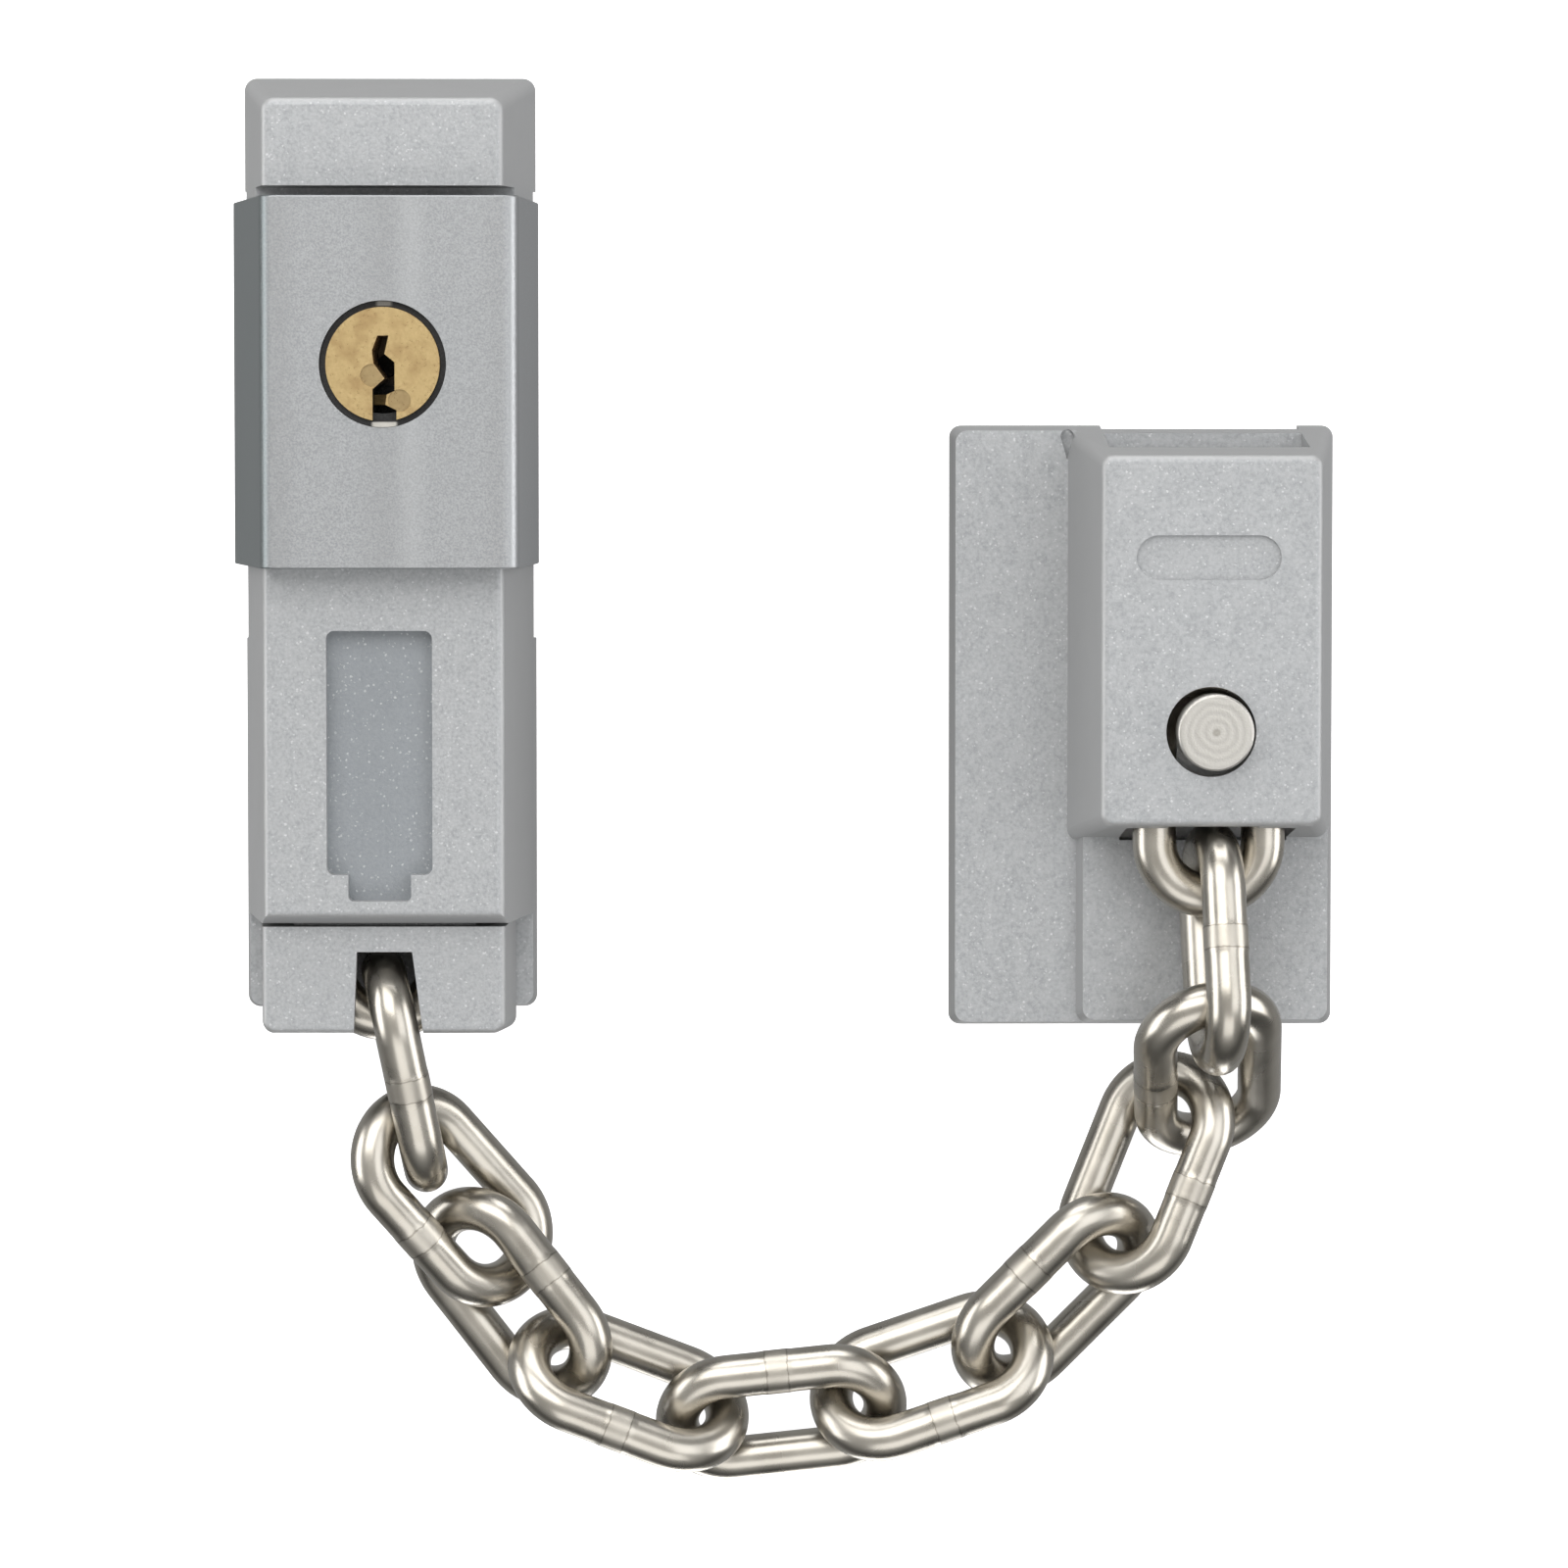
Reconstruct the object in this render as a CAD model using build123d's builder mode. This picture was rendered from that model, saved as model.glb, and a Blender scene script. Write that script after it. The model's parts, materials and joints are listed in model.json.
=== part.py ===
from build123d import *
import os
from math import radians, sin, cos, tan

# Door chain guard, closed-door spacing. +X from the door part to the frame part, +Z up, the door's
# surface is the plane Y = 0 and the room is on the -Y side. A "depth" is a distance from the door
# towards the room. The origin is the centre of the door part's back face. Millimetres.

# ---- driving dimensions ----
DRAFT = 8.3  # casting draft of the painted parts, degrees

# door part
BODY_WIDTH = 32.6
BODY_HEIGHT = 104.4
BODY_DEPTH = 21.6
BODY_CORNER = 1.4
BODY_EDGE = 0.9  # rounding of the room edges
TRAY_DEPTH = 2.6  # the floor that runs on below the body, behind the carrier
TRACK_TOP = 38.4  # top of the part of the body that the sleeve slides on
GROOVE_WIDTH = 1.1
GROOVE_BACK = 14.0
BODY_END = -41.4  # bottom of the body, where the carrier begins
BODY_END_LEAN = 1.2
RECESS_DEPTH = 2.4
RECESS = (-0.5, -22.5, 11.6, 26.8)  # x, z, width and height
RECESS_TAB = (-0.5, -36.8, 6.9, 4.0)
RECESS_CORNER = 0.9
SMALL_CORNER = 0.6  # corners of the flat steel parts and other small outlines
SCREW_RADIUS = 2.25
SCREW_HEAD_RADIUS = 4.1
SCREW_SEAT_DEPTH = 6.0
DOOR_SCREW_SPACING = (16.0, 32.0)
DOOR_SCREW_CENTRE = (0, 18.2)
BACK_PLATE_DEPTH = 1.5
BACK_PLATE_SIZE = (25.6, 68.2)
BACK_PLATE_Z = 10.0
FIT = 0.1  # gap round a part that is pressed in or laid in

# sleeve and its lock
SLEEVE_BACK_SIDES = (-17.6, 16.6)  # its left flank leans more than its right
SLEEVE_FRONT_SIDES = (-13.0, 14.9)
SLEEVE_TOP = 38.3
SLEEVE_BOTTOM = -2.2
SLEEVE_DEPTH = 26.6
SLEEVE_BACK = 0.3
SLEEVE_EDGE = 1.8  # rounding along its length
SLEEVE_RIM = 0.2
SLEEVE_TRAVEL = 8.0
SLIDE_GAP = 0.2
LIP_DEPTH = 1.5  # front of the lips that hook behind the body
LIP_INSIDE = 14.5
LOCK_X = 0.2
LOCK_Z = 20.0
BARREL_RADIUS = 6.85
BARREL_FRONT = 25.4
BARREL_BACK = 10.2
FLANGE_RADIUS = 8.1  # the barrel's flange, held between the sleeve and the body
FLANGE_DEPTH = 1.6
PLUG_HEAD_RADIUS = 6.2
PLUG_HEAD_DEPTH = 0.6
PLUG_RADIUS = 5.3
PLUG_FRONT = 26.3
PLUG_BACK = 9.95
RUNNING_GAP = 0.05
KEYWAY_FLOOR = 1.2
# the keyway's outline round the plug's centre: a slanted upper leg, a bulge on the right, and a
# lower leg with a ward that runs out at the bottom
KEYWAY = [
    (-0.55, 3.1), (0.65, 3.1), (0.2, 1.1), (1.3, 0.2), (1.3, -2.9), (0.45, -3.3), (0.3, -4.4),
    (1.5, -5.0), (1.5, -7.0), (-1.1, -7.0), (-1.1, -2.7), (0.2, -1.55), (-1.0, 0.1), (-1.15, 1.5),
]
DIMPLES = [(-1.2, -1.25), (1.8, -4.0)]  # centres, from the plug's centre
DIMPLE_RADIUS = 1.25
DIMPLE_DEPTH = 0.25
WAFER_COUNT = 5
WAFER_PITCH = 2.2
WAFER_START = 2.4
WAFER_THICKNESS = 0.8
WAFER_WIDTH = 5.6
WAFER_HEIGHT = 8.8
WAFER_RIM = 1.1
CAM_FRONT = 9.9
CAM_BACK = 8.1
CAM_REACH = 11.0
CAM_HUB_RADIUS = 4.2
CAM_WIDTH = 4.6
PEG_RADIUS = 1.5
PEG_REACH = 9.4  # from the plug's centre to the peg's
PEG_BACK = 4.0
CAM_SCREW_RADIUS = 1.2
CAM_SCREW_DEPTH = 3.2
CAM_SCREW_HEAD_RADIUS = 2.6
CAM_SCREW_HEAD_BACK = 6.8
CAM_SCREW_SLOT = (0.7, 0.6)  # width and depth
CHAMBER = (-7.6, 12.0, 7.2, 28.4)  # left, right, bottom and top of the room for the cam

# chain and its two ends
WIRE_RADIUS = 2.5
CROWN_RADIUS = 6.0  # of the wire's centreline round a link's end
LEG_LENGTH = 11.5
CROWN_REACH = LEG_LENGTH / 2 + CROWN_RADIUS
SHANK_RADIUS = 2.5
CARRIER_X = -0.2
CARRIER_WIDTH = 28.4
CARRIER_DRAFT = 3.0
CARRIER_TOP = -41.8
CARRIER_BOTTOM = -54.4
CARRIER_DEPTH = 18.5
CARRIER_BACK = 3.0
CARRIER_EDGE = 0.8
CARRIER_WALL = 2.2  # front wall, cut by the slot
SLOT_TOP = -44.6
SLOT_TOP_SIDES = (-3.2, 2.9)
SLOT_FOOT_SIDES = (-3.6, 4.2)
SLOT_ROOM_SIDES = (-4.3, 4.6)  # the wider room behind the slot
SLOT_ROOM_RISE = 1.4
TONGUE_HALF_WIDTH = 10.0
TONGUE_TOP = -24.8
TONGUE_BACK = 5.0
TONGUE_FRONT = 15.8
TONGUE_WALL = 1.4
POCKET_GAP = 0.3
LINK_GAP = 0.25
STEM_HALF_WIDTH = 3.6
STEM_TOP = 15.2
STEM_BOTTOM = -32.0
STEM_BACK = 3.6
STEM_FRONT = 6.2
STEM_NOTCH_FLARE = (0.8, 1.4)  # where the notch's upper side begins to open, and by how much
ANCHOR_ROOM_HALF_WIDTH = 8.8
DOOR_ANCHOR = (-0.3, 11.5, -40.8)  # x, depth and z of the centre of the link in the carrier

# frame part
COVER_LEFT = 62.8
COVER_RIGHT = 106.1
COVER_TOP = 13.35
COVER_BOTTOM = -54.3
COVER_DEPTH = 4.0
COVER_WALL = 1.6
COVER_CORNER = 1.3
HOUSING_LEFT = 75.4
HOUSING_BOTTOM = -33.8
HOUSING_DEPTH = 22.5
HOUSING_WALL = 3.0
PLATFORM_LEFT = 76.4
PLATFORM_TOP = -29.2
PLATFORM_DEPTH = 7.9
BAY_LEFT = 81.6  # the bay behind the housing's front, where the anchor link hangs
BAY_RIGHT = 100.3
BAY_TOP = -8.0
BAY_LIP = 0.8  # wall below the bay, behind the platform
RELIEF = (5.0, 5.2, 1.0)  # half width and height of the relief behind the front wall, and wall left
TOP_OPENING = (79.8, 102.0, 7.5, 6.0, 16.4)  # left, right, floor, back and front
PANEL = (90.4, -1.1, 15.9, 4.9)  # x, z, length and height of the sunk panel
PANEL_DEPTH = 0.6
PIN_X = 91.1
PIN_Z = -20.2
PIN_HEAD_RADIUS = 4.2
PIN_HOLE_X = 90.7
PIN_HOLE_RADIUS = 4.95
NOTCH = (75.9, 11.2, 1.5, 3.4)  # x, z, width and height of the notch beside the housing's top
PIN_FRONT = 24.5
PIN_BACK = 2.2
PIN_HEAD_BACK = 20.6
PIN_EDGE = 0.35
SOCKET_RADIUS = 4.6
SOCKET_FRONT = 11.0
FRAME_PLATE_DEPTH = 2.4
PLATE_GAP = 0.2
FRAME_SCREW_SPACING = (30.0, 52.0)
FRAME_SCREW_CENTRE = (84.4, -20.4)
FRAME_ANCHOR = (90.95, 16.0, -26.9)

CLEAR = 1.0  # how far a cut runs on past the surface it opens

# How the ten free links lie, from the door's end to the frame's: the centre's x, depth and z, then
# the heading of the long axis in the door's plane, its tilt to the room, and the roll about it.
FREE_LINKS = [
    (1.7, 9.9, -58.5, -79, -13, 86),
    (6.9, 7.6, -72.9, -50, -15, -28),
    (13.5, 6.1, -84.6, -52, 3, 32),
    (26.6, 7.6, -94.7, -21, -2, -48),
    (43.8, 6.1, -97.6, 6, 0, 32),
    (60.7, 6.8, -93.4, 19, 2, -39),
    (74.7, 6.4, -84.4, 45, 0, 38),
    (84.8, 6.6, -70.5, 68, -5, -34),
    (91.3, 11.4, -58.4, 95, 47, 9),
    (91.5, 18.1, -44.3, 92, -14, 98),
]

ROOM = Plane.XZ  # local x is +X, local y is +Z, and the normal points to the room


def half_width(depth):
    """Half the body's width at a depth: its flanks lean in with the draft."""
    return BODY_WIDTH / 2 - depth * tan(radians(DRAFT))


def box_cut(left, right, bottom, top, back, front):
    """Remove a plain box, given by its sides in X, its sides in Z and its two depths."""
    with BuildSketch(ROOM.offset(back)) as outline:
        with Locations(((left + right) / 2, (bottom + top) / 2)):
            Rectangle(right - left, top - bottom)
    extrude(outline.sketch, amount=front - back, mode=Mode.SUBTRACT)


def drafted_block(left, right, bottom, top, front, corner, back=0, draft=DRAFT):
    """Add a block that leans in on all four sides from its back outline, with round corners."""
    outlines = []
    for depth, lean in ((back, 0), (front, (front - back) * tan(radians(draft)))):
        with BuildSketch(ROOM.offset(depth)) as outline:
            with Locations(((left + right) / 2, (bottom + top) / 2)):
                RectangleRounded(right - left - 2 * lean, top - bottom - 2 * lean, corner)
        outlines.append(outline.sketch)
    loft(outlines, ruled=True)


def disc(x, z, radius, back, front, mode=Mode.ADD):
    """Add or remove a cylinder that stands on the door's plane."""
    with BuildSketch(ROOM.offset(back)) as outline:
        with Locations((x, z)):
            Circle(radius)
    extrude(outline.sketch, amount=front - back, mode=mode)


def grid(centre, spacing):
    """The four corners of a screw pattern."""
    return [
        (centre[0] + side * spacing[0] / 2, centre[1] + level * spacing[1] / 2)
        for side in (-1, 1)
        for level in (-1, 1)
    ]


def chain_link(place):
    """One welded link: a round wire along two straight legs and two half-round crowns."""
    leg = LEG_LENGTH / 2
    with BuildPart() as link:
        with BuildLine(place) as centreline:
            Line((-leg, -CROWN_RADIUS), (leg, -CROWN_RADIUS))
            CenterArc((leg, 0), CROWN_RADIUS, -90, 180)
            Line((leg, CROWN_RADIUS), (-leg, CROWN_RADIUS))
            CenterArc((-leg, 0), CROWN_RADIUS, 90, 180)
        with BuildSketch(Plane(centreline.line @ 0, z_dir=centreline.line % 0)):
            Circle(WIRE_RADIUS)
        sweep()
    return link.part


def link_place(x, depth, z, heading, tilt, roll):
    """The plane of a link that lies free: local x along it, local y across it."""
    h, t, r = radians(heading), radians(tilt), radians(roll)
    along = Vector(cos(h) * cos(t), -sin(t), sin(h) * cos(t))
    beside = Vector(-sin(h), 0, cos(h))
    lifted = along.cross(beside)
    if lifted.Y > 0:
        lifted = -lifted
    across = beside * cos(r) + lifted * sin(r)
    return Plane((x, -depth, z), x_dir=along, z_dir=along.cross(across))


def upright_place(centre):
    """The plane of a link that hangs flat to the door from an anchor pin."""
    x, depth, z = centre
    return Plane((x, -depth, z), x_dir=(0, 0, 1), z_dir=(0, -1, 0))


# ---- door body: one casting, with a track for the sleeve and a socket for the carrier ----
half = BODY_WIDTH / 2
with BuildPart() as door_body:
    drafted_block(-half, half, -BODY_HEIGHT / 2, BODY_HEIGHT / 2, BODY_DEPTH, BODY_CORNER)
    # below the body only the tray runs on; the body's lower end leans in towards the room
    with BuildSketch(Plane.YZ):
        with BuildLine():
            Polyline(
                (-TRAY_DEPTH, BODY_END),
                (-CARRIER_DEPTH, BODY_END),
                (-BODY_DEPTH - CLEAR, BODY_END + BODY_END_LEAN),
                (-BODY_DEPTH - CLEAR, -BODY_HEIGHT),
                (-TRAY_DEPTH, -BODY_HEIGHT),
                close=True,
            )
        make_face()
    extrude(amount=BODY_WIDTH, both=True, mode=Mode.SUBTRACT)
    fillet(door_body.faces().sort_by(Axis.Y)[0].edges(), BODY_EDGE)
    # a groove parts the fixed head from the sleeve
    box_cut(-half, half, TRACK_TOP, TRACK_TOP + GROOVE_WIDTH, GROOVE_BACK, BODY_DEPTH + CLEAR)
    # rabbets behind both edges, where the sleeve's lips hook in
    rabbet_end = SLEEVE_BOTTOM - SLEEVE_TRAVEL - POCKET_GAP
    for side in (-1, 1):
        inner, outer = sorted((side * (LIP_INSIDE - POCKET_GAP), side * (half + CLEAR)))
        box_cut(inner, outer, rabbet_end, TRACK_TOP + GROOVE_WIDTH, 0, LIP_DEPTH + POCKET_GAP)
    # a slot lets the lock barrel pass and travel, over a chamber for the cam
    with BuildSketch(ROOM.offset(CAM_BACK)):
        with Locations((LOCK_X, LOCK_Z - SLEEVE_TRAVEL / 2)):
            SlotCenterToCenter(SLEEVE_TRAVEL, 2 * (BARREL_RADIUS + LINK_GAP), rotation=90)
    extrude(amount=BODY_DEPTH, mode=Mode.SUBTRACT)
    box_cut(*CHAMBER, BACK_PLATE_DEPTH, BARREL_BACK)
    # the stem's channel and the tongue's pocket, both open below
    box_cut(CARRIER_X - STEM_HALF_WIDTH - POCKET_GAP, CARRIER_X + STEM_HALF_WIDTH + POCKET_GAP,
            BODY_END - CLEAR, LOCK_Z, STEM_BACK - POCKET_GAP, BARREL_BACK)
    box_cut(CARRIER_X - TONGUE_HALF_WIDTH - POCKET_GAP, CARRIER_X + TONGUE_HALF_WIDTH + POCKET_GAP,
            BODY_END - CLEAR, TONGUE_TOP + POCKET_GAP, TONGUE_BACK - POCKET_GAP, TONGUE_FRONT + POCKET_GAP)
    # recess for the back plate
    plate_width, plate_height = BACK_PLATE_SIZE
    box_cut(-plate_width / 2 - FIT, plate_width / 2 + FIT, BACK_PLATE_Z - plate_height / 2 - FIT,
            BACK_PLATE_Z + plate_height / 2 + FIT, 0, BACK_PLATE_DEPTH)
    # screw holes with sunk seats, hidden under the sleeve
    for x, z in grid(DOOR_SCREW_CENTRE, DOOR_SCREW_SPACING):
        disc(x, z, SCREW_RADIUS, 0, BODY_DEPTH, Mode.SUBTRACT)
        disc(x, z, SCREW_HEAD_RADIUS, SCREW_SEAT_DEPTH, BODY_DEPTH + CLEAR, Mode.SUBTRACT)
    # the long recess in the front, with a narrower tab below it
    with BuildSketch(ROOM.offset(BODY_DEPTH - RECESS_DEPTH)):
        with Locations(RECESS[:2]):
            RectangleRounded(*RECESS[2:], RECESS_CORNER)
        with Locations(RECESS_TAB[:2]):
            RectangleRounded(*RECESS_TAB[2:], SMALL_CORNER)
    extrude(amount=RECESS_DEPTH + CLEAR, mode=Mode.SUBTRACT)

# ---- door back plate: closes the cam's chamber from behind ----
with BuildPart() as door_back_plate:
    with BuildSketch(ROOM):
        with Locations((0, BACK_PLATE_Z)):
            RectangleRounded(*BACK_PLATE_SIZE, SMALL_CORNER)
        with Locations(*grid(DOOR_SCREW_CENTRE, DOOR_SCREW_SPACING)):
            Circle(SCREW_RADIUS, mode=Mode.SUBTRACT)
    extrude(amount=BACK_PLATE_DEPTH - RUNNING_GAP)

# ---- sleeve: a channel that wraps the body and carries the lock ----
inner_back = half_width(LIP_DEPTH) + SLIDE_GAP
inner_front = half_width(BODY_DEPTH) + SLIDE_GAP
with BuildPart() as lock_sleeve:
    with BuildSketch(Plane.XY.offset(SLEEVE_BOTTOM)):
        with BuildLine():
            Polyline(
                (SLEEVE_BACK_SIDES[0], -SLEEVE_BACK),
                (SLEEVE_FRONT_SIDES[0], -SLEEVE_DEPTH),
                (SLEEVE_FRONT_SIDES[1], -SLEEVE_DEPTH),
                (SLEEVE_BACK_SIDES[1], -SLEEVE_BACK),
                close=True,
            )
        make_face()
        with BuildLine():
            Polyline(
                (-inner_back, -LIP_DEPTH),
                (-inner_front, -BODY_DEPTH - SLIDE_GAP),
                (inner_front, -BODY_DEPTH - SLIDE_GAP),
                (inner_back, -LIP_DEPTH),
                close=True,
            )
        make_face(mode=Mode.SUBTRACT)
        with Locations((0, -LIP_DEPTH / 2)):
            Rectangle(2 * LIP_INSIDE, LIP_DEPTH + FIT, mode=Mode.SUBTRACT)
    extrude(amount=SLEEVE_TOP - SLEEVE_BOTTOM)
    fillet(lock_sleeve.faces().sort_by(Axis.Y)[0].edges().filter_by(Axis.Z), SLEEVE_EDGE)
    fillet(lock_sleeve.faces().sort_by(Axis.Y)[0].edges().filter_by(Axis.X), SLEEVE_RIM)
    disc(LOCK_X, LOCK_Z, BARREL_RADIUS + RUNNING_GAP, BODY_DEPTH, SLEEVE_DEPTH + CLEAR, Mode.SUBTRACT)
    disc(LOCK_X, LOCK_Z, FLANGE_RADIUS + RUNNING_GAP, BODY_DEPTH, BODY_DEPTH + FLANGE_DEPTH, Mode.SUBTRACT)

# ---- lock: barrel, key plug, wafers, cam with its peg, and the cam's screw ----
with BuildPart() as lock_barrel:
    disc(LOCK_X, LOCK_Z, BARREL_RADIUS, BARREL_BACK, BARREL_FRONT)
    disc(LOCK_X, LOCK_Z, FLANGE_RADIUS, BODY_DEPTH + SLIDE_GAP, BODY_DEPTH + FLANGE_DEPTH)
    disc(LOCK_X, LOCK_Z, PLUG_RADIUS + RUNNING_GAP, BARREL_BACK, BARREL_FRONT, Mode.SUBTRACT)
    disc(LOCK_X, LOCK_Z, PLUG_HEAD_RADIUS + RUNNING_GAP, BARREL_FRONT - PLUG_HEAD_DEPTH - FIT,
         BARREL_FRONT, Mode.SUBTRACT)
    # grooves above and below the plug, where locked wafers would stand out
    box_cut(LOCK_X - WAFER_WIDTH / 2 - SLIDE_GAP, LOCK_X + WAFER_WIDTH / 2 + SLIDE_GAP,
            LOCK_Z - BARREL_RADIUS + CLEAR, LOCK_Z + BARREL_RADIUS - CLEAR,
            BARREL_BACK + KEYWAY_FLOOR, BARREL_FRONT - FLANGE_DEPTH)

wafer_depths = [PLUG_BACK + WAFER_START + WAFER_PITCH * i for i in range(WAFER_COUNT)]
with BuildPart() as lock_plug:
    disc(LOCK_X, LOCK_Z, PLUG_RADIUS, PLUG_BACK, PLUG_FRONT)
    disc(LOCK_X, LOCK_Z, PLUG_HEAD_RADIUS, BARREL_FRONT - PLUG_HEAD_DEPTH, PLUG_FRONT)
    for depth in wafer_depths:
        box_cut(LOCK_X - WAFER_WIDTH / 2 - FIT, LOCK_X + WAFER_WIDTH / 2 + FIT,
                LOCK_Z - PLUG_RADIUS, LOCK_Z + PLUG_RADIUS, depth, depth + WAFER_THICKNESS + FIT)
    with BuildSketch(ROOM.shift_origin((LOCK_X, 0, LOCK_Z)).offset(PLUG_BACK + KEYWAY_FLOOR)):
        with BuildLine():
            Polyline(*KEYWAY, close=True)
        make_face()
    extrude(amount=PLUG_FRONT, mode=Mode.SUBTRACT)
    # two dimples left by the cutter that opened the keyway
    for x, z in DIMPLES:
        disc(LOCK_X + x, LOCK_Z + z, DIMPLE_RADIUS, PLUG_FRONT - DIMPLE_DEPTH, PLUG_FRONT, Mode.SUBTRACT)
    disc(LOCK_X, LOCK_Z, CAM_SCREW_RADIUS + RUNNING_GAP, PLUG_BACK, PLUG_BACK + CAM_SCREW_DEPTH + FIT,
         Mode.SUBTRACT)

with BuildPart() as lock_wafers:
    for depth in wafer_depths:
        with BuildSketch(ROOM.offset(depth + FIT / 2)):
            with Locations((LOCK_X, LOCK_Z)):
                RectangleRounded(WAFER_WIDTH, WAFER_HEIGHT, SMALL_CORNER)
                Rectangle(WAFER_WIDTH - 2 * WAFER_RIM, WAFER_HEIGHT - 2 * WAFER_RIM, mode=Mode.SUBTRACT)
        extrude(amount=WAFER_THICKNESS)

with BuildPart() as lock_cam:
    disc(LOCK_X, LOCK_Z, CAM_HUB_RADIUS, CAM_BACK, CAM_FRONT)
    with BuildSketch(ROOM.offset(CAM_BACK)):
        with Locations((LOCK_X + CAM_REACH / 2, LOCK_Z)):
            RectangleRounded(CAM_REACH, CAM_WIDTH, 2 * SMALL_CORNER)
    extrude(amount=CAM_FRONT - CAM_BACK)
    disc(LOCK_X + PEG_REACH, LOCK_Z, PEG_RADIUS, PEG_BACK, CAM_BACK + FIT)
    disc(LOCK_X, LOCK_Z, CAM_SCREW_RADIUS + RUNNING_GAP, CAM_BACK, CAM_FRONT, Mode.SUBTRACT)

with BuildPart() as cam_screw:
    disc(LOCK_X, LOCK_Z, CAM_SCREW_RADIUS, CAM_SCREW_HEAD_BACK, PLUG_BACK + CAM_SCREW_DEPTH)
    disc(LOCK_X, LOCK_Z, CAM_SCREW_HEAD_RADIUS, CAM_SCREW_HEAD_BACK, CAM_BACK - RUNNING_GAP)
    slot_width, slot_depth = CAM_SCREW_SLOT
    box_cut(LOCK_X - CAM_SCREW_HEAD_RADIUS, LOCK_X + CAM_SCREW_HEAD_RADIUS, LOCK_Z - slot_width / 2,
            LOCK_Z + slot_width / 2, CAM_SCREW_HEAD_BACK, CAM_SCREW_HEAD_BACK + slot_depth)

# ---- chain carrier: a block with the chain's slot, a tongue, and a stem that the cam's peg holds ----
anchor_z = DOOR_ANCHOR[2] + CROWN_REACH - WIRE_RADIUS - SHANK_RADIUS - RUNNING_GAP
peg_seat = LOCK_Z - PEG_REACH  # where the peg stands once the cam points down
peg_room = PEG_RADIUS + POCKET_GAP
with BuildPart() as chain_carrier:
    drafted_block(CARRIER_X - CARRIER_WIDTH / 2, CARRIER_X + CARRIER_WIDTH / 2, CARRIER_BOTTOM,
                  CARRIER_TOP + 2 * CLEAR, CARRIER_DEPTH, BODY_CORNER, CARRIER_BACK, CARRIER_DRAFT)
    fillet(chain_carrier.faces().sort_by(Axis.Y)[0].edges(), CARRIER_EDGE)
    box_cut(-half, half, CARRIER_TOP, CARRIER_TOP + 3 * CLEAR, 0, CARRIER_DEPTH + CLEAR)
    with BuildSketch(ROOM.offset(TONGUE_BACK)):
        with Locations((CARRIER_X, (CARRIER_TOP + TONGUE_TOP) / 2)):
            Rectangle(2 * TONGUE_HALF_WIDTH, TONGUE_TOP - CARRIER_TOP)
    extrude(amount=TONGUE_FRONT - TONGUE_BACK)
    with BuildSketch(ROOM.offset(STEM_BACK)):
        with Locations((CARRIER_X, (STEM_BOTTOM + STEM_TOP) / 2)):
            RectangleRounded(2 * STEM_HALF_WIDTH, STEM_TOP - STEM_BOTTOM, SMALL_CORNER)
        # the notch that the peg swings into from the side
        with BuildLine():
            Polyline(
                (LOCK_X - peg_room, peg_seat - peg_room),
                (LOCK_X + STEM_HALF_WIDTH, peg_seat - peg_room),
                (LOCK_X + STEM_HALF_WIDTH, peg_seat + peg_room + STEM_NOTCH_FLARE[1]),
                (LOCK_X + STEM_NOTCH_FLARE[0], peg_seat + peg_room),
                (LOCK_X - peg_room, peg_seat + peg_room),
                close=True,
            )
        make_face(mode=Mode.SUBTRACT)
    extrude(amount=STEM_FRONT - STEM_BACK)
    # room for the anchor link, and the slot for the first free link
    box_cut(DOOR_ANCHOR[0] - ANCHOR_ROOM_HALF_WIDTH, DOOR_ANCHOR[0] + ANCHOR_ROOM_HALF_WIDTH,
            CARRIER_BOTTOM, TONGUE_TOP - TONGUE_WALL,
            DOOR_ANCHOR[1] - WIRE_RADIUS - LINK_GAP, DOOR_ANCHOR[1] + WIRE_RADIUS + LINK_GAP)
    with BuildSketch(ROOM.offset(CARRIER_BACK)):
        with BuildLine():
            Polyline((SLOT_TOP_SIDES[0], SLOT_TOP), (SLOT_TOP_SIDES[1], SLOT_TOP),
                     (SLOT_FOOT_SIDES[1], CARRIER_BOTTOM), (SLOT_FOOT_SIDES[0], CARRIER_BOTTOM), close=True)
        make_face()
    extrude(amount=CARRIER_DEPTH, mode=Mode.SUBTRACT)
    box_cut(*SLOT_ROOM_SIDES, CARRIER_BOTTOM, SLOT_TOP + SLOT_ROOM_RISE, CARRIER_BACK,
            CARRIER_DEPTH - CARRIER_WALL)
    disc(DOOR_ANCHOR[0], anchor_z, SHANK_RADIUS, TONGUE_BACK + CLEAR, TONGUE_FRONT, Mode.SUBTRACT)

with BuildPart() as carrier_anchor_pin:
    disc(DOOR_ANCHOR[0], anchor_z, SHANK_RADIUS, TONGUE_BACK + CLEAR, TONGUE_FRONT)

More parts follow.
